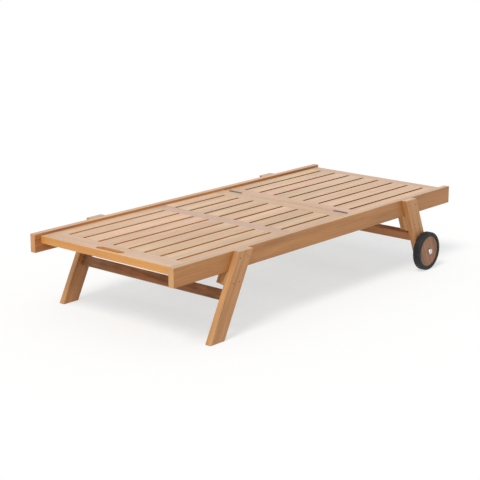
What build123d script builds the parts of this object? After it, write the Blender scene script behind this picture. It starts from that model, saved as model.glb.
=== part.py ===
from build123d import *
from math import asin, cos, degrees, radians, sin, tan
import os

os.makedirs("parts", exist_ok=True)

# Slatted wooden chaise lounger with a hinged back panel and two wheels.
# Sizes are in millimetres. X runs from the foot end to the head end and Z is up.
# The origin is on the floor, under the middle of the frame. Left is -Y, right is +Y.

# Long side rails
rail_length = 2000
frame_width = 854
rail_thickness = 30
rail_height = 83
rail_top = 364
wood_round = 2.5

# Deck boards and slats
deck_drop = 11
board_thickness = 34
slat_thickness = 20
foot_setback = 35
head_setback = 14
foot_board_width = 95
mid_board_width = 72
seat_board_width = 82
back_board_width = 72
head_board_width = 62
front_slat_length = 600
rear_slat_length = 350
slats_per_row = 9
edge_slat_width = 70.25
slot_width = 13
seat_side_gap = 0.5
panel_side_gap = 5
slat_round = 1.5
seam_round = 1
tongue_height = 8
tongue_length = 10
tongue_play = 0.5

# Hand slot through the foot board
hand_slot_length = 155
hand_slot_width = 33
hand_slot_inset = 32
hand_slot_round = 3

# Raked legs, shoulder blocks and stretchers
leg_thickness = 30
leg_width = 80
front_rake = 26.7
rear_rake = 22.5
front_top_setback = 363
rear_top_setback = 423
block_drop = 65
block_thickness = 43
leg_tail = 42
stretcher_thickness = 28
stretcher_width = 46
front_stretcher_height = 179
rear_stretcher_height = 165
tenon_thickness = 12
tenon_width = 26
tenon_length = 15

# Supports under the deck
ledger_width = 20
ledger_height = 22
ledger_setback = 50
cross_batten_width = 40
cross_batten_inset = 6
head_rail_thickness = 28
head_rail_setback = 15
rest_gap = 0.3

# Back hinges
hinge_gap = 2
hinge_inset = 105
hinge_length = 78
knuckles_per_hinge = 5
knuckle_radius = 3.8
knuckle_gap = 0.3
knuckle_room = 0.4
hinge_rise = 1
pin_radius = 2.2
pin_play = 0.05
leaf_thickness = 1.8
leaf_height = 22
leaf_screws = 3

# Prop that holds the back panel up
back_range = 65
reach_share = 0.75
pivot_drop = 19
bar_radius = 9
bar_drop = 3
bar_setback = 92
bar_end_gap = 2
prop_batten_width = 24
prop_batten_height = 34
prop_batten_gap = 23
prop_batten_inset = 6
arm_thickness = 20
arm_width = 28
arm_gap = 6
pivot_radius = 4
pivot_play = 0.08
washer_gap = 0.3
washer_radius = 11
washer_thickness = 1.6
pivot_head_radius = 8
pivot_head_height = 4
pivot_nut_width = 13
pivot_nut_height = 6.5
pivot_tail = 1.5

# Racks on the rails that catch the prop's foot bar
notch_angles = (35, 45, 55, 65)
notch_depth = 6
notch_clearance = 0.5
rack_end = 30
rack_height = 16

# Wheels and stub axles
tyre_radius = 93.5
tyre_width = 36
tyre_round = 7
disc_radius = 75
disc_width = 30
disc_round = 2
wheel_gap = 3
axle_radius = 5
axle_play = 0.08
bush_radius = 9
bush_proud = 0.5
axle_spacer = 3
axle_spacer_radius = 10
axle_head_width = 17
axle_head_height = 6.5
axle_nut_width = 17
axle_nut_height = 6
axle_washer = 2
axle_tail = 1
cap_radius = 14
cap_height = 12
cap_wall = 1.2
cap_round = 4

# Screws: shank radius, head radius, head height and socket size across its flats
wood_screw = {"shank": 2.4, "head": 4.5, "rise": 2.6, "socket": 3.6, "deep": 1.8}
hinge_screw = {"shank": 1.6, "head": 3.2, "rise": 1.5, "socket": 2.4, "deep": 1}
screw_fit = 0.05
tip_share = 0.12
leg_screw_length = 50
hinge_screw_length = 20
frame_screw_length = 40
batten_screw_length = 46
leg_screw_top_drop = 29
leg_screw_low_drop = 45
leg_screw_top_spacing = 50
leg_screw_low_spacing = 36
screws_per_row = 2
ledger_screw_shares = (0.12, 0.32, 0.5, 0.7, 0.88)
board_screw_shares = (0.25, 0.75)
sides = {"left": -1, "right": 1}

# Heights and lines that follow from the sizes above
rail_bottom = rail_top - rail_height
deck_top = rail_top - deck_drop
board_bottom = deck_top - board_thickness
slat_bottom = deck_top - slat_thickness
rail_inner = frame_width / 2 - rail_thickness
rail_outer = frame_width / 2
seat_half = rail_inner - seat_side_gap
panel_half = rail_inner - panel_side_gap
ledger_inner = rail_inner - ledger_width
slat_pitch = (2 * rail_inner - 2 * edge_slat_width - slot_width) / (slats_per_row - 2)
foot_end = -rail_length / 2
head_end = rail_length / 2

# Places along X, from the foot end
foot_x = foot_end + foot_setback
ledger_x = foot_x + ledger_setback
front_slats_x = foot_x + foot_board_width
mid_x = front_slats_x + front_slat_length
rear_slats_x = mid_x + mid_board_width
seat_x = rear_slats_x + rear_slat_length
hinge_x = seat_x + seat_board_width + hinge_gap / 2
back_x = hinge_x + hinge_gap / 2
back_slats_x = back_x + back_board_width
head_x = head_end - head_setback - head_board_width
hinge_z = deck_top + hinge_rise

# The prop and its pivot share the run from the hinge to the folded foot bar
prop_run = head_end - head_rail_setback - head_rail_thickness - bar_setback - hinge_x
prop_length = prop_run / (1 + reach_share)
prop_reach = prop_length * reach_share
pivot_x = hinge_x + prop_reach
pivot_z = board_bottom - pivot_drop
pivot_depth = hinge_z - pivot_z
bar_depth = hinge_z - board_bottom + bar_drop + bar_radius

# Angle of the folded prop, and of the raised one whose foot bar is at its folded height again
prop_start = asin((bar_depth - pivot_depth) / prop_length)
raised_rise = prop_reach * sin(radians(back_range)) - pivot_depth * cos(radians(back_range))
prop_end = asin((raised_rise + bar_depth) / prop_length)

front_leg = {"top_x": foot_end + front_top_setback, "rake": front_rake, "lean": -1}
rear_leg = {"top_x": head_end - rear_top_setback, "rake": rear_rake, "lean": 1}


def box_between(x, y, z):
    """Block that spans the pairs of limits x, y and z."""
    size = [pair[1] - pair[0] for pair in (x, y, z)]
    middle = [(pair[1] + pair[0]) / 2 for pair in (x, y, z)]
    return Pos(*middle) * Box(*size)


def beside(side, inner, outer):
    """Limits along Y of a piece on one side, from its distances to the middle."""
    return sorted((side * inner, side * outer))


def slab(points, y):
    """Plate of a side-view outline that spans the pair of limits y."""
    outline = Plane.XZ * Polygon(*points, align=None)
    return Pos(0, y[1], 0) * extrude(outline, amount=y[1] - y[0], dir=(0, -1, 0))


def rod(radius, y, x, z):
    """Round rod along Y that spans the pair of limits y."""
    return Pos(x, (y[0] + y[1]) / 2, z) * Rot(90, 0, 0) * Cylinder(radius, y[1] - y[0])


def hex_block(width, y, x, z):
    """Six-sided block along Y that spans the pair of limits y."""
    outline = RegularPolygon(width / 2, 6, major_radius=False)
    block = extrude(outline, amount=(y[1] - y[0]) / 2, both=True)
    return Pos(x, (y[0] + y[1]) / 2, z) * Rot(90, 0, 0) * block


def facing(x, y, z, direction):
    """Place of a screw whose head faces the given direction."""
    return Plane(origin=(x, y, z), z_dir=direction).location


def evenly(count, spacing):
    """Offsets of copies at even spacing, with their middle at zero."""
    return [spacing * (index - (count - 1) / 2) for index in range(count)]


# Screws

def screw_body(kind, length, fit):
    """Countersunk head, shank and pointed tip, with the head's face at the origin."""
    shank = kind["shank"] + fit
    tip = length * tip_share
    head = Cone(shank, kind["head"] + fit, kind["rise"], align=(Align.CENTER, Align.CENTER, Align.MAX))
    stem = Cylinder(shank, length - tip, align=(Align.CENTER, Align.CENTER, Align.MAX))
    point = Cone(shank / 2, shank, tip, align=(Align.CENTER, Align.CENTER, Align.MAX))
    return head + stem + Pos(0, 0, tip - length) * point


def screw(kind, length):
    """Screw with a six-sided socket in its head."""
    socket = extrude(RegularPolygon(kind["socket"] / 2, 6, major_radius=False), amount=-kind["deep"])
    return screw_body(kind, length, 0) - socket


def screws_at(places, kind, length):
    """The same screw at every place."""
    whole = screw(kind, length)
    return Compound([place * whole for place in places])


def drilled(body, places, kind, length):
    """The body with a close hole for the screw at every place."""
    for place in places:
        body -= place * screw_body(kind, length, screw_fit)
    return body


# Raked legs and what follows their lean

def leg_centre(leg, z):
    """Middle of the leg's width at a height."""
    level_width = leg_width / cos(radians(leg["rake"]))
    return leg["top_x"] + level_width / 2 + leg["lean"] * tan(radians(leg["rake"])) * (rail_top - z)


def level_corners(leg, z):
    """The two corners of a level cut across the leg, from -X to +X."""
    half = leg_width / cos(radians(leg["rake"])) / 2
    return [(leg_centre(leg, z) - half, z), (leg_centre(leg, z) + half, z)]


def square_corners(leg, z):
    """The two corners of a square cut whose middle is at the height z."""
    across = leg_width / 2 * cos(radians(leg["rake"]))
    rise = leg["lean"] * leg_width / 2 * sin(radians(leg["rake"]))
    middle = leg_centre(leg, z)
    return [(middle - across, z - rise), (middle + across, z + rise)]


def raked_piece(top, bottom, y):
    """Board between two cuts, with its edges rounded."""
    board = slab([top[0], top[1], bottom[1], bottom[0]], y)
    return fillet(board.edges(), wood_round)


def raked_beam(leg, height, thickness, width, length):
    """Beam along Y that leans like the leg, at a height on the leg's middle line."""
    turn = -leg["lean"] * leg["rake"]
    return Pos(leg_centre(leg, height), 0, height) * Rot(0, turn, 0) * Box(thickness, length, width)


def stretcher_tenons(leg, height):
    """The stretcher's tenons as one bar that runs through it."""
    return raked_beam(leg, height, tenon_thickness, tenon_width, frame_width + 2 * tenon_length)


def stretcher(leg, height):
    """Board between two legs, tenoned into both."""
    beam = raked_beam(leg, height, stretcher_thickness, stretcher_width, frame_width)
    beam = fillet(beam.edges().filter_by(Axis.Y), wood_round)
    return beam + stretcher_tenons(leg, height)


def leg_screw_places(leg, side):
    """Two screws into the rail and two into the shoulder block."""
    places = []
    rows = [(rail_top - leg_screw_top_drop, leg_screw_top_spacing)]
    rows.append((rail_bottom - leg_screw_low_drop, leg_screw_low_spacing))
    for height, spacing in rows:
        for step in evenly(screws_per_row, spacing):
            x = leg_centre(leg, height) + step
            places.append(facing(x, side * (rail_outer + leg_thickness), height, (0, side, 0)))
    return places


def front_leg_piece(side):
    """Leg outside the rail, level with its top and flat on the floor."""
    y = beside(side, rail_outer, rail_outer + leg_thickness)
    body = raked_piece(level_corners(front_leg, rail_top), level_corners(front_leg, 0), y)
    body -= stretcher_tenons(front_leg, front_stretcher_height)
    return drilled(body, leg_screw_places(front_leg, side), wood_screw, leg_screw_length)


def rear_leg_piece(side):
    """Leg outside the rail that ends below the axle, clear of the floor."""
    y = beside(side, rail_outer, rail_outer + leg_thickness)
    low = tyre_radius - leg_tail
    body = raked_piece(level_corners(rear_leg, rail_top), square_corners(rear_leg, low), y)
    body -= stretcher_tenons(rear_leg, rear_stretcher_height)
    body -= rod(axle_radius, y, leg_centre(rear_leg, tyre_radius), tyre_radius)
    return drilled(body, leg_screw_places(rear_leg, side), wood_screw, leg_screw_length)


def block_piece(leg, side):
    """Shoulder block under the rail, against the leg and leaning like it."""
    y = beside(side, rail_outer - block_thickness, rail_outer)
    low = rail_bottom - block_drop
    body = raked_piece(level_corners(leg, rail_bottom), square_corners(leg, low), y)
    return drilled(body, leg_screw_places(leg, side), wood_screw, leg_screw_length)


# Rails and their ledgers

def ledger_screw_places(side):
    """Screws through the ledger into the rail."""
    span = back_x - hinge_gap - ledger_x
    z = board_bottom - ledger_height / 2
    places = [ledger_x + span * share for share in ledger_screw_shares]
    return [facing(x, side * ledger_inner, z, (0, -side, 0)) for x in places]


def rack_screw_places(side):
    """Screws through the rack into the rail, between its notches."""
    centres = [bar_centre(angle)[0] for angle in notch_angles]
    z = rack_top() - (rack_height + notch_depth) / 2
    middles = [(centres[k] + centres[k + 1]) / 2 for k in range(len(centres) - 1)]
    return [facing(x, side * ledger_inner, z, (0, -side, 0)) for x in middles]


def head_rail_tenons():
    """The head rail's tenons as one bar that runs through it."""
    x = head_end - head_rail_setback - head_rail_thickness / 2
    z = (rail_bottom + board_bottom - rest_gap) / 2
    return Pos(x, 0, z) * Box(tenon_thickness, 2 * (rail_inner + tenon_length), tenon_width)


def rail_piece(side):
    """Long side rail that stands a little above the deck."""
    rail = box_between((foot_end, head_end), beside(side, rail_inner, rail_outer), (rail_bottom, rail_top))
    rail = fillet(rail.edges(), wood_round)
    rail -= head_rail_tenons()
    for leg in (front_leg, rear_leg):
        rail = drilled(rail, leg_screw_places(leg, side), wood_screw, leg_screw_length)
    places = ledger_screw_places(side) + rack_screw_places(side)
    return drilled(rail, places, wood_screw, frame_screw_length)


def deck_screw_places(side):
    """Screws up through the ledger into the ends of the seat's boards."""
    places = []
    boards = ((ledger_x, front_slats_x - ledger_x), (mid_x, mid_board_width), (seat_x, seat_board_width))
    for start, width in boards:
        for share in board_screw_shares:
            y = side * (rail_inner - ledger_width / 2)
            places.append(facing(start + width * share, y, board_bottom - ledger_height, (0, 0, -1)))
    return places


def ledger_piece(side):
    """Strip inside the rail that carries the seat."""
    z = (board_bottom - ledger_height, board_bottom)
    body = box_between((ledger_x, back_x - hinge_gap), beside(side, ledger_inner, rail_inner), z)
    body = drilled(body, ledger_screw_places(side), wood_screw, frame_screw_length)
    return drilled(body, deck_screw_places(side), wood_screw, frame_screw_length)


def head_rail_piece():
    """Cross rail at the head end, on which the flat back panel rests."""
    end = head_end - head_rail_setback
    z = (rail_bottom, board_bottom - rest_gap)
    body = box_between((end - head_rail_thickness, end), (-rail_inner, rail_inner), z)
    body = fillet(body.edges().filter_by(Axis.Y), seam_round)
    return body + head_rail_tenons()


# Deck boards and slats

def groove(x):
    """Long groove in a board's edge for the slats' tongues, between two places along X."""
    middle = deck_top - slat_thickness / 2
    z = (middle - tongue_height / 2, middle + tongue_height / 2)
    return box_between(x, (-seat_half, seat_half), z)


def cross_board(start, width, half, round_low, round_high):
    """Board across the deck, with a rounding for each long edge."""
    board = box_between((start, start + width), (-half, half), (board_bottom, deck_top))
    ends = board.edges().filter_by(Axis.Y).sort_by(Axis.X)
    board = fillet(ends[:2], round_low)
    ends = board.edges().filter_by(Axis.Y).filter_by_position(Axis.X, start + width, start + width)
    return fillet(ends, round_high)


def hand_slot():
    """Oblong cutter with round ends, longer than the board is thick."""
    outline = SlotOverall(hand_slot_length, hand_slot_width, rotation=90)
    x = foot_x + hand_slot_inset
    return Pos(x, 0, board_bottom) * extrude(outline, amount=board_thickness)


def foot_board_piece():
    """Foot board with a hand slot to lift the lounger by."""
    board = cross_board(foot_x, foot_board_width, seat_half, wood_round, seam_round)
    board -= hand_slot()
    x = foot_x + hand_slot_inset
    rim = board.edges().filter_by_position(Axis.X, x - hand_slot_width, x + hand_slot_width)
    rim = rim.filter_by_position(Axis.Y, -hand_slot_length, hand_slot_length)
    level = [edge for edge in rim if edge.tangent_at(0).Z == 0]
    board = fillet(level, hand_slot_round)
    end = foot_x + foot_board_width
    board -= groove((end - tongue_length, end))
    return drilled(board, both_sides(deck_screw_places), wood_screw, frame_screw_length)


def mid_board_piece():
    """Crossboard between the two rows of seat slats."""
    board = cross_board(mid_x, mid_board_width, seat_half, seam_round, seam_round)
    board -= groove((mid_x, mid_x + tongue_length))
    end = mid_x + mid_board_width
    board -= groove((end - tongue_length, end))
    return drilled(board, both_sides(deck_screw_places), wood_screw, frame_screw_length)


def seat_board_piece():
    """Crossboard that carries the fixed leaves of the hinges."""
    board = cross_board(seat_x, seat_board_width, seat_half, seam_round, seam_round)
    board -= groove((seat_x, seat_x + tongue_length))
    board = mortised(board, -1)
    return drilled(board, both_sides(deck_screw_places), wood_screw, frame_screw_length)


def back_board_piece():
    """Crossboard of the back panel that carries the moving leaves of the hinges."""
    board = cross_board(back_x, back_board_width, panel_half, seam_round, seam_round)
    end = back_x + back_board_width
    board -= groove((end - tongue_length, end))
    board = mortised(board, 1)
    return drilled(board, both_sides(batten_screw_places), wood_screw, batten_screw_length)


def head_board_piece():
    """Crossboard at the top of the back panel."""
    board = cross_board(head_x, head_board_width, panel_half, seam_round, wood_round)
    return board - groove((head_x, head_x + tongue_length))


def slat_limits(half):
    """Limits along Y of each slat of a row, where half is half the deck's width."""
    slots = evenly(slats_per_row - 1, slat_pitch)
    lows = [-half] + [slot + slot_width / 2 for slot in slots]
    highs = [slot - slot_width / 2 for slot in slots] + [half]
    return list(zip(lows, highs))


def slat_piece(start, end, y):
    """Slat between two boards, with a tongue at each end."""
    slat = box_between((start, end), y, (slat_bottom, deck_top))
    slat = fillet(slat.edges().filter_by(Axis.X), slat_round)
    reach = tongue_length - tongue_play
    middle = deck_top - slat_thickness / 2
    z = (middle - tongue_height / 2, middle + tongue_height / 2)
    return slat + box_between((start - reach, end + reach), y, z)


def slat_row(name, start, end, half):
    """Nodes of one row: a slat at each side and the alike slats between them."""
    slats = [slat_piece(start, end, y) for y in slat_limits(half)]
    row = {name + "_slat_left": slats[0], name + "_slat_right": slats[-1]}
    row[name + "_slats"] = Compound(slats[1:-1])
    return row


def cross_batten(middle, half):
    """Thin batten under a row of slats."""
    x = (middle - cross_batten_width / 2, middle + cross_batten_width / 2)
    return box_between(x, (-half, half), (board_bottom, slat_bottom))


# Back hinges

def both_sides(places):
    """The places of both sides in one list."""
    return places(-1) + places(1)


def hinge_y(side):
    """Middle of a hinge along Y."""
    return side * (rail_outer - hinge_inset)


def leaf_top():
    """Upper edge of a leaf, below the other leaf's knuckles."""
    return hinge_z - knuckle_radius - knuckle_room


def leaf_limits(toward):
    """Limits along X of a leaf, where toward is -1 on the seat and 1 on the back."""
    return sorted((hinge_x + toward * hinge_gap / 2, hinge_x + toward * (hinge_gap / 2 + leaf_thickness)))


def leaf_box(side, toward, top):
    """Flat of a leaf on one board, up to a height."""
    y = (hinge_y(side) - hinge_length / 2, hinge_y(side) + hinge_length / 2)
    return box_between(leaf_limits(toward), y, (leaf_top() - leaf_height, top))


def hinge_screw_places(side, toward):
    """Screws through a leaf into the board's edge."""
    places = []
    for step in evenly(leaf_screws, hinge_length / leaf_screws):
        x = hinge_x + toward * hinge_gap / 2
        places.append(facing(x, hinge_y(side) + step, leaf_top() - leaf_height / 2, (-toward, 0, 0)))
    return places


def mortised(board, toward):
    """The board with room for both hinges, their knuckles and their screws."""
    for side in sides.values():
        board -= leaf_box(side, toward, hinge_z)
        y = (hinge_y(side) - hinge_length / 2, hinge_y(side) + hinge_length / 2)
        board -= rod(knuckle_radius + knuckle_room, y, hinge_x, hinge_z)
        board = drilled(board, hinge_screw_places(side, toward), hinge_screw, hinge_screw_length)
    return board


def hinge_leaf(side, toward):
    """Leaf with every second knuckle, bored for the pin."""
    leaf = leaf_box(side, toward, leaf_top())
    first = 0 if toward < 0 else 1
    step = hinge_length / knuckles_per_hinge
    start = hinge_y(side) - hinge_length / 2
    for index in range(first, knuckles_per_hinge, 2):
        y = (start + step * index + knuckle_gap / 2, start + step * (index + 1) - knuckle_gap / 2)
        leaf += rod(knuckle_radius, y, hinge_x, hinge_z)
        leaf += box_between(leaf_limits(toward), y, (leaf_top() - leaf_thickness, hinge_z))
    bore = (start, start + hinge_length)
    leaf -= rod(pin_radius + pin_play, bore, hinge_x, hinge_z)
    return drilled(leaf, hinge_screw_places(side, toward), hinge_screw, hinge_screw_length)


def hinge_pin(side):
    """Pin through all the knuckles of one hinge."""
    y = (hinge_y(side) - hinge_length / 2, hinge_y(side) + hinge_length / 2)
    return rod(pin_radius, y, hinge_x, hinge_z)


# Prop and racks

def bar_centre(angle):
    """Middle of the foot bar when the back panel is raised by an angle."""
    panel = radians(angle)
    arm = prop_start + (prop_end - prop_start) * angle / back_range
    x = prop_reach * cos(panel) + pivot_depth * sin(panel) + prop_length * cos(arm)
    z = prop_reach * sin(panel) - pivot_depth * cos(panel) - prop_length * sin(arm)
    return hinge_x + x, hinge_z + z


def rack_top():
    """Height of the teeth, just below the lowest place of the foot bar."""
    lowest = min(bar_centre(angle)[1] for angle in (0,) + notch_angles)
    return lowest - bar_radius - notch_clearance


def rack_piece(side):
    """Notched rack inside the rail for the ends of the foot bar."""
    centres = [bar_centre(angle)[0] for angle in notch_angles]
    x = (min(centres) - rack_end, max(centres) + rack_end)
    y = beside(side, ledger_inner, rail_inner)
    rack = box_between(x, y, (rack_top() - rack_height, rack_top()))
    radius = bar_radius + notch_clearance
    for centre in centres:
        rack -= rod(radius, y, centre, rack_top() - notch_depth + radius)
    return drilled(rack, rack_screw_places(side), wood_screw, frame_screw_length)


def batten_face():
    """Distance from the middle to the outer face of a prop batten."""
    return ledger_inner - prop_batten_gap


def batten_limits(side):
    """Limits along Y of the batten that carries the prop's pivot."""
    return beside(side, batten_face() - prop_batten_width, batten_face())


def back_batten_x():
    """Middle of the cross batten under the back panel's slats."""
    return (back_slats_x + head_x) / 2


def batten_screw_places(side):
    """Screws up through the batten into the back board and the cross batten."""
    y = side * (batten_face() - prop_batten_width / 2)
    z = board_bottom - prop_batten_height
    places = [facing(back_x + back_board_width * share, y, z, (0, 0, -1)) for share in board_screw_shares]
    places.append(facing(back_batten_x(), y, z, (0, 0, -1)))
    return places


def prop_batten_piece(side):
    """Batten under the back panel, from the hinge board to the cross batten."""
    x = (back_x + prop_batten_inset, back_batten_x() + cross_batten_width / 2)
    batten = box_between(x, batten_limits(side), (board_bottom - prop_batten_height, board_bottom))
    batten = fillet(batten.edges().filter_by(Axis.X).sort_by(Axis.Z)[:2], wood_round)
    batten -= rod(pivot_radius, batten_limits(side), pivot_x, pivot_z)
    return drilled(batten, batten_screw_places(side), wood_screw, batten_screw_length)


def back_cross_batten_piece():
    """Cross batten under the slats of the back panel, on the prop battens."""
    body = cross_batten(back_batten_x(), panel_half - cross_batten_inset)
    return drilled(body, both_sides(batten_screw_places), wood_screw, batten_screw_length)


def arm_outer():
    """Distance from the middle to the outer face of a prop arm."""
    return batten_face() - prop_batten_width - arm_gap


def prop_arm_piece(side):
    """Arm with round ends between its pivot and the foot bar."""
    y = beside(side, arm_outer() - arm_thickness, arm_outer())
    bar_x, bar_z = bar_centre(0)
    place = Pos((pivot_x + bar_x) / 2, y[1], (pivot_z + bar_z) / 2) * Rot(0, degrees(prop_start), 0)
    outline = Plane.XZ * SlotCenterToCenter(prop_length, arm_width)
    arm = extrude(outline, amount=arm_thickness, dir=(0, -1, 0))
    arm = place * fillet(arm.edges(), seam_round)
    arm -= rod(pivot_radius + pivot_play, y, pivot_x, pivot_z)
    return arm - rod(bar_radius, y, bar_x, bar_z)


def foot_bar_piece():
    """Round bar across both arms that drops into the racks."""
    bar_x, bar_z = bar_centre(0)
    half = rail_inner - bar_end_gap
    bar = rod(bar_radius, (-half, half), bar_x, bar_z)
    return fillet(bar.edges().filter_by(GeomType.CIRCLE), seam_round)


def pivot_nut_limits():
    """Distances from the middle to the nut's inner and outer faces."""
    outer = arm_outer() - arm_thickness - washer_gap - washer_thickness
    return outer - pivot_nut_height, outer


def pivot_bolt(side):
    """Round-headed bolt through the batten and the prop arm."""
    face = batten_face()
    shank = beside(side, pivot_nut_limits()[0] - pivot_tail, face)
    head = rod(pivot_head_radius, beside(side, face, face + pivot_head_height), pivot_x, pivot_z)
    rim = head.edges().filter_by(GeomType.CIRCLE).sort_by(Axis.Y)[0 if side < 0 else -1]
    return fillet(rim, pivot_head_height / 2) + rod(pivot_radius, shank, pivot_x, pivot_z)


def pivot_washers(side):
    """Spacer between batten and arm, and the washer under the nut."""
    spacer = beside(side, arm_outer() + washer_gap, arm_outer() + arm_gap)
    inner = pivot_nut_limits()[1]
    washer = beside(side, inner, inner + washer_thickness)
    rings = [rod(washer_radius, y, pivot_x, pivot_z) for y in (spacer, washer)]
    return [ring - rod(pivot_radius, y, pivot_x, pivot_z) for ring, y in zip(rings, (spacer, washer))]


def pivot_nut(side):
    """Hexagon nut on the pivot bolt."""
    y = beside(side, *pivot_nut_limits())
    return hex_block(pivot_nut_width, y, pivot_x, pivot_z) - rod(pivot_radius, y, pivot_x, pivot_z)


# Wheels and stub axles

axle_x = leg_centre(rear_leg, tyre_radius)
axle_z = tyre_radius
leg_face = rail_outer + leg_thickness
wheel_middle = leg_face + wheel_gap + tyre_width / 2
disc_inner = wheel_middle - disc_width / 2
disc_outer = wheel_middle + disc_width / 2
spacer_outer = leg_face + axle_spacer
bush_outer = disc_outer + bush_proud
nut_washer_inner = bush_outer + washer_gap
axle_nut_inner = nut_washer_inner + axle_washer
axle_nut_outer = axle_nut_inner + axle_nut_height


def tyre_piece(side):
    """Solid rubber tyre round the disc."""
    y = beside(side, wheel_middle - tyre_width / 2, wheel_middle + tyre_width / 2)
    tyre = rod(tyre_radius, y, axle_x, axle_z)
    tyre = fillet(tyre.edges().filter_by(GeomType.CIRCLE), tyre_round)
    return tyre - rod(disc_radius, y, axle_x, axle_z)


def disc_piece(side):
    """Wooden wheel disc, bored for its bush."""
    y = beside(side, disc_inner, disc_outer)
    disc = rod(disc_radius, y, axle_x, axle_z)
    disc = fillet(disc.edges().filter_by(GeomType.CIRCLE), disc_round)
    return disc - rod(bush_radius, y, axle_x, axle_z)


def bush_piece(side):
    """Sleeve in the disc that turns on the axle."""
    y = beside(side, spacer_outer + washer_gap, bush_outer)
    return rod(bush_radius, y, axle_x, axle_z) - rod(axle_radius + axle_play, y, axle_x, axle_z)


def hub_cap_piece(side):
    """Domed cap on the disc, over the axle's nut."""
    y = beside(side, disc_outer, disc_outer + cap_height)
    hollow = beside(side, disc_outer, disc_outer + cap_height - cap_wall)
    cap = rod(cap_radius, y, axle_x, axle_z)
    rim = cap.edges().filter_by(GeomType.CIRCLE).sort_by(Axis.Y)[0 if side < 0 else -1]
    cap = fillet(rim, cap_round)
    inner = rod(cap_radius - cap_wall, hollow, axle_x, axle_z)
    rim = inner.edges().filter_by(GeomType.CIRCLE).sort_by(Axis.Y)[0 if side < 0 else -1]
    return cap - fillet(rim, cap_round - cap_wall)


def axle_bolt(side):
    """Hexagon bolt through the rear leg, on which the wheel turns."""
    head = hex_block(axle_head_width, beside(side, rail_outer - axle_head_height, rail_outer), axle_x, axle_z)
    return head + rod(axle_radius, beside(side, rail_outer, axle_nut_outer + axle_tail), axle_x, axle_z)


def axle_washers(side):
    """Spacer against the leg and the washer under the nut."""
    spans = (beside(side, leg_face, spacer_outer), beside(side, nut_washer_inner, axle_nut_inner))
    bolt = axle_radius
    return [rod(axle_spacer_radius, y, axle_x, axle_z) - rod(bolt, y, axle_x, axle_z) for y in spans]


def axle_nut(side):
    """Nut at the outer end of the axle, under the hub cap."""
    y = beside(side, axle_nut_inner, axle_nut_outer)
    return hex_block(axle_nut_width, y, axle_x, axle_z) - rod(axle_radius, y, axle_x, axle_z)


# Every node by its name

nodes = {}
for name, side in sides.items():
    nodes["rail_" + name] = rail_piece(side)
    nodes["ledger_" + name] = ledger_piece(side)
    nodes["rack_" + name] = rack_piece(side)
    nodes["front_leg_" + name] = front_leg_piece(side)
    nodes["rear_leg_" + name] = rear_leg_piece(side)
    nodes["front_block_" + name] = block_piece(front_leg, side)
    nodes["rear_block_" + name] = block_piece(rear_leg, side)
    nodes["prop_batten_" + name] = prop_batten_piece(side)
    nodes["prop_arm_" + name] = prop_arm_piece(side)
    nodes["tyre_" + name] = tyre_piece(side)
    nodes["disc_" + name] = disc_piece(side)
    nodes["bush_" + name] = bush_piece(side)
    nodes["hub_cap_" + name] = hub_cap_piece(side)

nodes["front_stretcher"] = stretcher(front_leg, front_stretcher_height)
nodes["rear_stretcher"] = stretcher(rear_leg, rear_stretcher_height)
nodes["head_rail"] = head_rail_piece()
nodes["foot_board"] = foot_board_piece()
nodes["mid_board"] = mid_board_piece()
nodes["seat_board"] = seat_board_piece()
nodes["back_board"] = back_board_piece()
nodes["head_board"] = head_board_piece()
nodes["seat_cross_batten"] = cross_batten((front_slats_x + mid_x) / 2, seat_half)
nodes["back_cross_batten"] = back_cross_batten_piece()
nodes["foot_bar"] = foot_bar_piece()
nodes.update(slat_row("front", front_slats_x, mid_x, seat_half))
nodes.update(slat_row("rear", rear_slats_x, seat_x, seat_half))
nodes.update(slat_row("back", back_slats_x, head_x, panel_half))

# Hinges and fasteners, alike pieces in one node
both = tuple(sides.values())
legs = [(leg, side) for leg in (front_leg, rear_leg) for side in both]
leg_places = [place for leg, side in legs for place in leg_screw_places(leg, side)]
ledger_places = both_sides(ledger_screw_places) + both_sides(rack_screw_places)
ledger_places += both_sides(deck_screw_places)
nodes["seat_hinge_leaves"] = Compound([hinge_leaf(side, -1) for side in both])
nodes["back_hinge_leaves"] = Compound([hinge_leaf(side, 1) for side in both])
nodes["hinge_pins"] = Compound([hinge_pin(side) for side in both])
for name, toward in (("seat", -1), ("back", 1)):
    places = [place for side in both for place in hinge_screw_places(side, toward)]
    nodes[name + "_hinge_screws"] = screws_at(places, hinge_screw, hinge_screw_length)
nodes["leg_screws"] = screws_at(leg_places, wood_screw, leg_screw_length)
nodes["ledger_screws"] = screws_at(ledger_places, wood_screw, frame_screw_length)
nodes["batten_screws"] = screws_at(both_sides(batten_screw_places), wood_screw, batten_screw_length)
nodes["pivot_bolts"] = Compound([pivot_bolt(side) for side in both])
nodes["pivot_washers"] = Compound([ring for side in both for ring in pivot_washers(side)])
nodes["pivot_nuts"] = Compound([pivot_nut(side) for side in both])
nodes["axle_bolts"] = Compound([axle_bolt(side) for side in both])
nodes["axle_washers"] = Compound([ring for side in both for ring in axle_washers(side)])
nodes["axle_nuts"] = Compound([axle_nut(side) for side in both])

for name, shape in nodes.items():
    export_step(shape, "parts/" + name + ".step")
print(len(nodes), "nodes")
print("hinge axis", hinge_x, hinge_z, "prop pivot", pivot_x, pivot_z, "axle", axle_x, axle_z)
print("foot bar", bar_centre(0), "rack top", rack_top(), "wheel middle", wheel_middle)
print("prop turns", 1 + (prop_end - prop_start) / radians(back_range), "times the panel's angle")
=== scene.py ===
import math
import random
import bpy
from mathutils import Matrix, Vector


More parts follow.
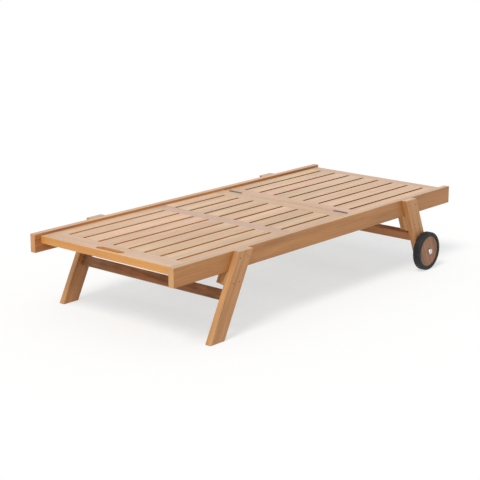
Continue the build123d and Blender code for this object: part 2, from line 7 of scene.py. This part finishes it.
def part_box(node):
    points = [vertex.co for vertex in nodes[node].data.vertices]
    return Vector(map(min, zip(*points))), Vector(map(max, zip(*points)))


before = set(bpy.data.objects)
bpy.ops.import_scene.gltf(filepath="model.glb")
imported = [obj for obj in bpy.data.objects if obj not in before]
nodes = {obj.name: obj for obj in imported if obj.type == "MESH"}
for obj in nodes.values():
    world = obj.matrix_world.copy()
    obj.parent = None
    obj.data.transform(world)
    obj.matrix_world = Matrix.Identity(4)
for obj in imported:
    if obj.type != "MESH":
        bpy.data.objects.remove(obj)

scene = bpy.context.scene
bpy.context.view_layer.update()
print("frame loaded:", len(nodes), "nodes")


# small helpers for node trees, one tree per finish

mostOfNoise = (0.3, 0.7)    # where nearly all values of a noise texture lie


class Tree:
    def __init__(self, owner):    # a new material or world
        self.owner = owner
        owner.use_nodes = True
        self.nodes = owner.node_tree.nodes
        self.links = owner.node_tree.links
        self.nodes.clear()
        self.column = 0

    def add(self, kind, inputs=None, **settings):
        node = self.nodes.new("ShaderNode" + kind)
        node.location = (self.column * 180, 0)
        self.column += 1
        for key, value in settings.items():
            setattr(node, key, value)
        for key, value in (inputs or {}).items():
            self.feed(node.inputs[key], value)
        return node

    def feed(self, socket, value):
        if isinstance(value, bpy.types.NodeSocket):
            self.links.new(value, socket)
        else:
            socket.default_value = value

    def math(self, operation, first, second=0.0):
        return self.add("Math", {0: first, 1: second}, operation=operation).outputs[0]

    def vector(self, operation, first, second):
        return self.add("VectorMath", {0: first, 1: second}, operation=operation).outputs[0]

    def part(self, value, axis):
        return self.add("SeparateXYZ", {0: value}).outputs[axis]

    def noise(self, coords, stretch, detail=3.0, roughness=0.55):
        along = self.vector("MULTIPLY", coords, stretch)
        inputs = {"Vector": along, "Scale": 1.0, "Detail": detail, "Roughness": roughness}
        return self.add("TexNoise", inputs).outputs["Fac"]

    def remap(self, value, band, low=0.0, high=1.0):
        inputs = {"Value": value, "From Min": band[0], "From Max": band[1], "To Min": low, "To Max": high}
        return self.add("MapRange", inputs).outputs["Result"]

    def mix(self, factor, first, second):
        node = self.add("Mix", data_type="RGBA")
        self.feed(node.inputs[0], factor)
        self.feed(node.inputs[6], first)    # sockets 1 to 5 are for numbers and vectors
        self.feed(node.inputs[7], second)
        return node.outputs[2]

    def bump(self, height, strength, distance):
        inputs = {"Height": height, "Strength": strength, "Distance": distance}
        return self.add("Bump", inputs).outputs["Normal"]

    def finish(self, colour, roughness, normal, **uniform):
        inputs = {"Base Color": colour, "Roughness": roughness, "Normal": normal}
        shader = self.add("BsdfPrincipled", {**inputs, **uniform})
        self.add("OutputMaterial", {"Surface": shader.outputs[0]})
        return self.owner


def paint(red, green, blue):
    # screen colour from 0 to 255 as the linear colour that a shader takes
    linear = [((c / 255 + 0.055) / 1.055) ** 2.4 if c > 10 else c / 255 / 12.92 for c in (red, green, blue)]
    return (*linear, 1.0)


def dress(name, material):
    mesh = nodes[name].data
    mesh.materials.clear()
    mesh.materials.append(material)


# oiled teak, with its grain along the board

teak = {
    "light": paint(193, 138, 82),
    "dark": paint(160, 106, 58),
    "vein": paint(112, 68, 34),
    "end": paint(190, 142, 92),
    "side": paint(193, 138, 82),    # upright sides along the grain, left out of the paling and painted sheen of faces that look up
    "wornAndHighlit": paint(216, 170, 120),
    "bleachedAndSheen": paint(218, 192, 155),
    "greyed": paint(203, 179, 155),
    "streak": (1.4, 36.0, 36.0),    # metres to noise cells, along and across the grain
    "fibre": (7.0, 260.0, 260.0),
    "pore": (24.0, 800.0, 800.0),
    "patch": (1.6, 9.0, 9.0),
    "rings": 0.1,                   # how much growth rings and streaks add to the figure of the grain
    "streaks": 1.1,
    "figure": (0.36, 0.88),         # the narrower, the stronger the figure
    "streakVein": (0.58, 0.8),      # from where a streak, a fibre or a pore takes the vein's colour
    "fibreVein": (0.4, 0.8),
    "poreVein": (0.62, 0.74),
    "streakShare": 0.4,
    "fibreShare": 0.2,
    "poreShare": 0.3,
    "endShare": 0.7,
    "sideShare": 0.0,
    "bleachAndSheen": 0.64,                 # how far faces that look up are paled: partly sun bleaching, partly a painted sheen
    "bleachAndSheenPatches": (0.8, 1.1),
    "silver": (0.3, 0.75),          # from where the figure turns grey on the paled faces
    "edge": 0.002,
    "wearAndHighlight": 0.45,                   # how pale a corner is, partly rubbed off and partly a painted highlight
    "wearRoughness": 0.08,
    "toneSpread": 0.05,
    "hueSpread": 0.005,
    "patchTone": 0.07,
    "patchHue": 0.005,
    "roughness": (0.38, 0.52),
    "gloss": 0.5,
    "fibreHeight": 0.6,
    "bump": (0.3, 0.0004),
}

ringLook = {
    "spacing": 0.009,
    "pith": (0, 0.1, 0.22),         # metres from the board to the heart of the tree
    "tilt": (0.04, 0.03),           # radians off the board's length, at most
    "bend": (0.9, 5, 5),            # metres to noise cells
    "sway": (0, 0.05, 0.04),        # metres that the bends take the rings aside
    "ragged": {"Distortion": 2.4, "Detail": 2.0, "Detail Scale": 0.6},
    "waveTurn": 20,                 # radians that Blender's wave texture turns per unit
}

facingBands = {
    "side": (0.85, 0.4),            # the upward part of a face's direction, from level to upright
    "up": (0.5, 0.95),
    "end": (0.8, 0.98),             # the lengthwise part, from a side to a sawn end
    "corner": (0.98, 0.8),          # flat face to rounded corner
}

logLook = {
    "farthest": 4,                  # metres from the log's middle to where a board or slat was cut
    "slatFarthest": (5, 5, 5),
    "slatSeed": 1.7,
}


def boardTone(tree, place, seed, slatPitch):
    # a number from 0 to 1 and a shift of the grain, for the board or for each slat of a row
    draw = random.Random(seed)
    farthest = logLook["farthest"]
    shift = tuple(draw.uniform(-farthest, farthest) for axis in range(3))
    if not slatPitch:
        return draw.random(), shift, draw
    slat = tree.math("ROUND", tree.math("DIVIDE", tree.part(place, "Y"), slatPitch))
    number = tree.math("ADD", slat, seed * logLook["slatSeed"])
    chance = tree.add("TexWhiteNoise", {"W": number}, noise_dimensions="1D")
    spread = tree.vector("MULTIPLY", chance.outputs["Color"], logLook["slatFarthest"])
    return chance.outputs["Value"], tree.vector("ADD", spread, shift), draw


def growthRings(tree, coords, draw):
    # rings round a pith outside the board, slightly bent and tilted along it
    bend = tree.noise(coords, ringLook["bend"], detail=2.0)
    bendBoth = tree.add("CombineXYZ", {1: bend, 2: bend}).outputs[0]
    bent = tree.vector("ADD", coords, tree.vector("MULTIPLY", bendBoth, ringLook["sway"]))
    tilt = (0, *(draw.uniform(-most, most) for most in ringLook["tilt"]))
    pith = tree.add("Mapping", {"Vector": bent, "Rotation": tilt, "Location": ringLook["pith"]}).outputs[0]
    scale = math.tau / (ringLook["waveTurn"] * ringLook["spacing"])
    inputs = {"Vector": pith, "Scale": scale, **ringLook["ragged"]}
    return tree.add("TexWave", inputs, wave_type="RINGS", rings_direction="X").outputs["Fac"]


def edgeWearAndHighlight(tree, radius):
    # 0 on the flat and towards 1 where a corner is rounded over
    soft = tree.add("Bevel", {"Radius": radius}, samples=4).outputs[0]
    true = tree.add("NewGeometry").outputs["True Normal"]
    flat = tree.add("VectorMath", {0: soft, 1: true}, operation="DOT_PRODUCT").outputs["Value"]
    return tree.remap(flat, facingBands["corner"])


def oiledTeak(name, seed, turn=(0, 0, 0), slatPitch=0.0, **changes):
    look = {**teak, **changes}
    tree = Tree(bpy.data.materials.new(name))
    place = tree.add("TexCoord").outputs["Object"]
    facing = tree.add("TexCoord").outputs["Normal"]
    tone, shift, draw = boardTone(tree, place, seed, slatPitch)
    along = tree.add("Mapping", {"Vector": place, "Rotation": turn}, vector_type="POINT").outputs[0]
    coords = tree.vector("ADD", along, shift)

    rings = growthRings(tree, coords, draw)
    streaks = tree.noise(coords, look["streak"], detail=4.0, roughness=0.62)
    fibres = tree.noise(coords, look["fibre"], detail=2.0)
    pores = tree.remap(tree.noise(coords, look["pore"], detail=1.0), look["poreVein"])
    patches = tree.noise(coords, look["patch"], detail=2.0)

    ringShare = tree.math("MULTIPLY", rings, look["rings"])
    figure = tree.math("ADD", ringShare, tree.math("MULTIPLY", streaks, look["streaks"]))
    colour = tree.mix(tree.remap(figure, look["figure"]), look["light"], look["dark"])
    streakVein = tree.remap(streaks, look["streakVein"], 0.0, look["streakShare"])
    colour = tree.mix(streakVein, colour, look["vein"])
    fibreVein = tree.remap(fibres, look["fibreVein"], 0.0, look["fibreShare"])
    colour = tree.mix(fibreVein, colour, look["vein"])
    upward = tree.part(facing, "Z")
    upright = tree.remap(tree.math("ABSOLUTE", upward), facingBands["side"], 0.0, look["sideShare"])
    colour = tree.mix(upright, colour, look["side"])

    # sawn ends are duller; faces that look up are paler, partly sun bleaching and partly a painted sheen;
    # corners are paler, partly rubbed and partly a painted highlight
    lengthwise = tree.add("Mapping", {"Vector": facing, "Rotation": turn}, vector_type="VECTOR").outputs[0]
    endways = tree.math("ABSOLUTE", tree.part(lengthwise, "X"))
    colour = tree.mix(tree.remap(endways, facingBands["end"], 0.0, look["endShare"]), colour, look["end"])
    # painted sheen together with sun bleaching: faces that look up take a paler colour
    sunAndSheen = tree.remap(patches, mostOfNoise, *look["bleachAndSheenPatches"])
    sunAndSheen = tree.math("MULTIPLY", tree.remap(upward, facingBands["up"]), sunAndSheen)
    silver = tree.mix(tree.remap(figure, look["silver"]), look["bleachedAndSheen"], look["greyed"])
    colour = tree.mix(tree.math("MULTIPLY", sunAndSheen, look["bleachAndSheen"]), colour, silver)
    # corners paler: rubbing and a painted highlight on the rounded edges
    wearAndHighlight = edgeWearAndHighlight(tree, look["edge"])
    colour = tree.mix(tree.math("MULTIPLY", wearAndHighlight, look["wearAndHighlight"]), colour, look["wornAndHighlit"])
    colour = tree.mix(tree.math("MULTIPLY", pores, look["poreShare"]), colour, look["vein"])

    # each board has its own tone and hue, with slow patches along it
    toneSpread, hueSpread, patchTone, patchHue = [
        look[key] for key in ("toneSpread", "hueSpread", "patchTone", "patchHue")]
    ownTone = tree.remap(tone, (0, 1), 1 - toneSpread, 1 + toneSpread)
    shade = tree.math("ADD", ownTone, tree.remap(patches, mostOfNoise, -patchTone, patchTone))
    warmth = tree.add("SeparateColor", {0: patches.node.outputs["Color"]}).outputs["Green"]
    ownHue = tree.remap(tone, (0, 1), 0.5 + hueSpread, 0.5 - hueSpread)
    hue = tree.math("ADD", ownHue, tree.remap(warmth, mostOfNoise, -patchHue, patchHue))
    colour = tree.add("HueSaturation", {"Hue": hue, "Value": shade, "Color": colour}).outputs[0]

    roughness = tree.remap(fibres, mostOfNoise, *look["roughness"])
    roughness = tree.math("ADD", roughness, tree.math("MULTIPLY", wearAndHighlight, look["wearRoughness"]))
    height = tree.math("SUBTRACT", tree.math("MULTIPLY", fibres, look["fibreHeight"]), pores)
    normal = tree.bump(height, *look["bump"])
    return tree.finish(colour, roughness, normal, **{"Specular IOR Level": look["gloss"]})


alongX = (0, 0, 0)
alongY = (0, 0, math.radians(-90))


# side rails and raked legs

# the left and right rails take tones of their own, fitted to how each side is lit: painted light and shade
railWood = {
    "left": {"light": paint(183, 126, 71), "end": paint(196, 150, 101), "patchHue": 0.002},
    "right": {"light": paint(202, 141, 74), "dark": paint(162, 105, 47)},
    "both": {"toneSpread": 0.02, "figure": (0.41, 0.8), "patchTone": 0.09,
             "bleachedAndSheen": paint(198, 174, 144), "greyed": paint(186, 163, 145)},
    "seed": 10,                     # legs, blocks and stretchers take the numbers after it
}
legWood = {
    "frontRake": 26.7,
    "rearRake": 22.5,
    "finish": {"toneSpread": 0.03, "figure": (0.38, 0.88), "patchTone": 0.1, "patchHue": 0.002,
               "streak": (2.4, 50.0, 50.0), "patch": (4.0, 9.0, 9.0), "vein": paint(142, 94, 54),
               "bleachedAndSheen": paint(192, 169, 144), "greyed": paint(182, 160, 141)},
    # the front and rear legs take light tones of their own, the rear one fitted to the shade it stands in:
    # painted shade
    "front": {"light": paint(196, 148, 96)},
    "rear": {"light": paint(192, 149, 92)},
}
# the front stretcher is painted much darker than the rear, with broad dark patches: painted shade under the
# deck
stretcherWood = {
    "front": {"light": paint(158, 107, 63), "dark": paint(98, 64, 35), "figure": (0.47, 0.8),
              "patchTone": 0.22, "patch": (3.0, 12.0, 12.0)},
    "rear": {"light": paint(200, 140, 78), "dark": paint(168, 112, 58)},
}


def dressFrame():
    seed = railWood["seed"]
    lean = {"front": math.radians(90 - legWood["frontRake"]),
            "rear": math.radians(90 + legWood["rearRake"])}
    for side in ("left", "right"):
        rail = {**railWood["both"], **railWood[side]}
        dress("rail_" + side, oiledTeak("railTeak_" + side, seed, alongX, **rail))
        for end in ("front", "rear"):
            look = {**legWood["finish"], **legWood[end]}
            for part in ("leg", "block"):
                seed += 1
                name = end + "_" + part + "_" + side
                dress(name, oiledTeak(name + "_teak", seed, (0, lean[end], 0), **look))
    for end in ("front", "rear"):
        seed += 1
        stretcher = oiledTeak(end + "StretcherTeak", seed, alongY, **stretcherWood[end])
        dress(end + "_stretcher", stretcher)
    print("rails, legs, blocks and stretchers dressed")


dressFrame()


# crossboards of the deck, the mid one of a greyer plank

# each board's paled top colours hold sun bleaching and a painted sheen
boardWood = {
    "foot_board": {"seed": 31, "light": paint(212, 152, 78), "dark": paint(185, 126, 58),
                   "side": paint(201, 146, 72), "sideShare": 0.6, "bleachedAndSheen": paint(206, 182, 154),
                   "greyed": paint(195, 172, 155), "bleachAndSheen": 0.78},
    "mid_board": {"seed": 32, "bleachedAndSheen": paint(190, 169, 146), "greyed": paint(184, 164, 148)},
    "seat_board": {"seed": 33, "bleachedAndSheen": paint(202, 173, 141), "greyed": paint(192, 167, 145)},
    "back_board": {"seed": 34, "bleachedAndSheen": paint(206, 180, 147), "greyed": paint(192, 167, 148)},
    "head_board": {"seed": 35, "bleachedAndSheen": paint(196, 176, 147), "greyed": paint(186, 165, 147)},
}
boardSpread = 0.02


def dressBoards():
    for name, look in boardWood.items():
        dress(name, oiledTeak(name + "_teak", turn=alongY, toneSpread=boardSpread, **look))
    print("crossboards dressed")


dressBoards()


# slats, three rows of nine

slatWood = {
    "inOneNode": 7,
    "finish": {"toneSpread": 0.04, "wearAndHighlight": 0.1},
    # colours of the slats' upright sides, brighter in the front row and darker at the back: painted light
    # and shade in the slots
    "side": {"front": paint(204, 132, 10), "rear": paint(168, 103, 4), "back": paint(150, 82, 4)},
    "sideShare": {"row": 1.0, "left": 0.3, "right": 1.0},    # the left slats show their outer side
    "seed": 51,
    "seedsPerRow": 3,
}


def dressSlats():
    seed = slatWood["seed"]
    share = slatWood["sideShare"]
    for row in ("front", "rear", "back"):
        look = {**slatWood["finish"], "side": slatWood["side"][row]}
        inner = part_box(row + "_slats")[0][1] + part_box(row + "_slat_left")[1][1]
        pitch = -inner / slatWood["inOneNode"]
        inRow = oiledTeak(row + "SlatTeak", seed, alongX, pitch, **look, sideShare=share["row"])
        dress(row + "_slats", inRow)
        for step, side in enumerate(("left", "right"), 1):
            name = row + "_slat_" + side
            dress(name, oiledTeak(name + "_teak", seed + step, alongX, **look, sideShare=share[side]))
        seed += slatWood["seedsPerRow"]
    print("slats dressed")


dressSlats()


# what carries the deck from below, of the same wood

underWood = (
    {"turn": alongX, "seed": 80,
     "names": ("ledger_left", "ledger_right", "rack_left", "rack_right", "prop_batten_left",
               "prop_batten_right", "prop_arm_left", "prop_arm_right")},
    {"turn": alongY, "seed": 100,
     "names": ("seat_cross_batten", "back_cross_batten", "head_rail", "foot_bar")},
)


def dressUnderside():
    for group in underWood:
        for seed, name in enumerate(group["names"], group["seed"]):
            dress(name, oiledTeak(name + "_teak", seed, group["turn"]))
    print("ledgers, battens, prop and racks dressed")


dressUnderside()


# metal of the hinges, bolts, screws and hub caps

steelLook = {
    "hinge": {"colour": paint(128, 126, 124), "dull": paint(84, 82, 80), "roughness": (0.34, 0.5)},
    "bolt": {"colour": paint(186, 184, 180), "dull": paint(132, 128, 122), "roughness": (0.25, 0.42)},
    "screw": {"colour": paint(186, 146, 108), "dull": paint(150, 112, 80), "roughness": (0.5, 0.7)},
    "cap": {"colour": paint(222, 222, 222), "dull": paint(176, 175, 173), "roughness": (0.16, 0.3)},
}
steelWear = {
    "stain": (130, 130, 130),       # metres to noise cells
    "scratch": (900, 60, 900),
    "stained": (0.42, 0.7),
    "bump": (0.15, 0.0001),
}


def wornSteel(name, look, seed):
    tree = Tree(bpy.data.materials.new(name))
    place = tree.vector("ADD", tree.add("TexCoord").outputs["Object"], (seed, seed, seed))
    stains = tree.noise(place, steelWear["stain"], detail=4.0)
    scratches = tree.noise(place, steelWear["scratch"], detail=2.0)
    colour = tree.mix(tree.remap(stains, steelWear["stained"]), look["colour"], look["dull"])
    roughness = tree.remap(scratches, mostOfNoise, *look["roughness"])
    return tree.finish(colour, roughness, tree.bump(scratches, *steelWear["bump"]), Metallic=1.0)


def dressMetal():
    groups = {
        "hinge": ("seat_hinge_leaves", "back_hinge_leaves", "hinge_pins", "seat_hinge_screws",
                  "back_hinge_screws"),
        "bolt": ("pivot_bolts", "pivot_washers", "pivot_nuts", "axle_bolts", "axle_washers", "axle_nuts",
                 "ledger_screws", "batten_screws"),
        "screw": ("leg_screws",),
        "cap": ("hub_cap_left", "hub_cap_right"),
    }
    for seed, (kind, names) in enumerate(groups.items()):
        steel = wornSteel(kind + "Steel", steelLook[kind], seed)
        for name in names:
            dress(name, steel)
    print("hinges, bolts, screws and caps dressed")


dressMetal()


# wheels: rubber tyre, turned disc and its bush

tyreLook = {
    "rubber": paint(24, 24, 26),
    "dust": paint(50, 48, 47),
    "dusty": (0.5, 0.8),
    "dustShare": 0.35,
    "mottle": (45, 45, 45),
    "grit": (900, 900, 900),
    "roughness": (0.5, 0.7),
    "gloss": 0.35,
    "bump": (0.3, 0.0004),
}
bushLook = {
    "nylon": paint(214, 210, 200),
    "stain": paint(170, 164, 150),
    "stained": (0.4, 0.7),
    "stainShare": 0.3,
    "mottle": (200, 200, 200),
    "roughness": (0.45, 0.6),
    "bump": (0.1, 0.0002),
}
discLook = {
    "light": paint(157, 109, 70),
    "dark": paint(100, 68, 44),
    "vein": paint(74, 46, 30),
    "end": paint(100, 68, 44),
    "wornAndHighlit": paint(157, 109, 70),
    "bleachAndSheen": 0.0,
    "rings": 0.2,
    "streak": (4.0, 52.0, 52.0),
    "figure": (0.48, 0.84),
}
discTurn = {"grain": 113, "seed": 120}    # degrees from the head end, and the left disc's number


def tyreRubber():
    tree = Tree(bpy.data.materials.new("tyreRubber"))
    place = tree.add("TexCoord").outputs["Object"]
    mottle = tree.noise(place, tyreLook["mottle"], detail=5.0)
    grit = tree.noise(place, tyreLook["grit"], detail=2.0)
    dust = tree.remap(mottle, tyreLook["dusty"], 0.0, tyreLook["dustShare"])
    colour = tree.mix(dust, tyreLook["rubber"], tyreLook["dust"])
    roughness = tree.remap(mottle, mostOfNoise, *tyreLook["roughness"])
    normal = tree.bump(tree.math("ADD", grit, mottle), *tyreLook["bump"])
    return tree.finish(colour, roughness, normal, **{"Specular IOR Level": tyreLook["gloss"]})


def bushNylon():
    tree = Tree(bpy.data.materials.new("bushNylon"))
    place = tree.add("TexCoord").outputs["Object"]
    mottle = tree.noise(place, bushLook["mottle"])
    stain = tree.remap(mottle, bushLook["stained"], 0.0, bushLook["stainShare"])
    colour = tree.mix(stain, bushLook["nylon"], bushLook["stain"])
    roughness = tree.remap(mottle, mostOfNoise, *bushLook["roughness"])
    return tree.finish(colour, roughness, tree.bump(mottle, *bushLook["bump"]))


def dressWheels():
    rubber = tyreRubber()
    nylon = bushNylon()
    turn = (0, math.radians(discTurn["grain"]), 0)
    for seed, side in enumerate(("left", "right"), discTurn["seed"]):
        dress("tyre_" + side, rubber)
        dress("bush_" + side, nylon)
        dress("disc_" + side, oiledTeak("discTeak_" + side, seed, turn, **discLook))
    print("wheels dressed")


dressWheels()


# floor and world: white to the camera, plain pale to the light

floorLook = {
    "half": 200.0,
    "colour": (0.955, 0.885, 0.862, 1.0),
    "white": (0.935, 0.99, 1.0, 1.0),
    "glow": 0.62,                   # the share of white that the camera sees in the floor
}
skyLook = {"ambient": 0.6}


def seesBackground(tree):
    # camera, glossy and transmission rays see the white of the studio
    path = tree.add("LightPath")
    first = tree.math("MAXIMUM", path.outputs["Is Camera Ray"], path.outputs["Is Glossy Ray"])
    return tree.math("MAXIMUM", first, path.outputs["Is Transmission Ray"])


def makeFloor():
    half = floorLook["half"]
    corners = [(-half, -half, 0), (half, -half, 0), (half, half, 0), (-half, half, 0)]
    mesh = bpy.data.meshes.new("studioFloor")
    mesh.from_pydata(corners, [], [(0, 1, 2, 3)])
    floor = bpy.data.objects.new("studioFloor", mesh)
    scene.collection.objects.link(floor)
    tree = Tree(bpy.data.materials.new("floorPaint"))
    matt = tree.add("BsdfDiffuse", {"Color": floorLook["colour"]}).outputs[0]
    glow = tree.add("Emission", {"Color": floorLook["white"], "Strength": 1.0}).outputs[0]
    share = tree.math("MULTIPLY", seesBackground(tree), floorLook["glow"])
    both = tree.add("MixShader", {0: share, 1: matt, 2: glow})
    tree.add("OutputMaterial", {"Surface": both.outputs[0]})
    mesh.materials.append(tree.owner)


def makeSky():
    tree = Tree(bpy.data.worlds.new("studioSky"))
    level = tree.remap(seesBackground(tree), (0, 1), skyLook["ambient"], 1.0)
    sky = tree.add("Background", {"Color": (1, 1, 1, 1), "Strength": level})
    tree.add("OutputWorld", {"Surface": sky.outputs[0]})
    scene.world = tree.owner
    print("floor and sky made")


makeFloor()
makeSky()


# wide soft light from above the foot end, as even on the floor as on the lounger

softLight = {"azimuth": 193.0, "height": 54.0, "spread": 22.0, "power": 2.2}


def makeSoftLight():
    lamp = bpy.data.lights.new("softLight", "SUN")
    lamp.energy = softLight["power"]
    lamp.angle = math.radians(softLight["spread"])
    holder = bpy.data.objects.new("softLight", lamp)
    turn, rise = math.radians(softLight["azimuth"]), math.radians(softLight["height"])
    place = Vector((math.cos(rise) * math.cos(turn), math.cos(rise) * math.sin(turn), math.sin(rise)))
    holder.matrix_world = (-place).to_track_quat("-Z", "Y").to_matrix().to_4x4()
    scene.collection.objects.link(holder)
    print("soft light placed")


makeSoftLight()


# camera at the photograph's place, for a square frame

cameraLook = {
    "at": (-4.8098, -4.0593, 1.8516),
    "yaw": 0.7118,
    "pitch": 0.25509,               # downwards, both in radians
    "lens": 104.08,
    "sensor": 36.0,
    "farthest": 500,
}


def placeCamera():
    lens = bpy.data.cameras.new("studioCamera")
    lens.sensor_width = cameraLook["sensor"]
    lens.sensor_fit = "HORIZONTAL"
    lens.lens = cameraLook["lens"]
    lens.clip_end = cameraLook["farthest"]
    camera = bpy.data.objects.new("studioCamera", lens)
    yaw, pitch = cameraLook["yaw"], cameraLook["pitch"]
    look = Vector((math.cos(pitch) * math.cos(yaw), math.cos(pitch) * math.sin(yaw), -math.sin(pitch)))
    turned = look.to_track_quat("-Z", "Y").to_matrix().to_4x4()
    camera.matrix_world = Matrix.Translation(cameraLook["at"]) @ turned
    scene.collection.objects.link(camera)
    scene.camera = camera
    print("camera placed")


placeCamera()
scene.view_settings.view_transform = "Standard"
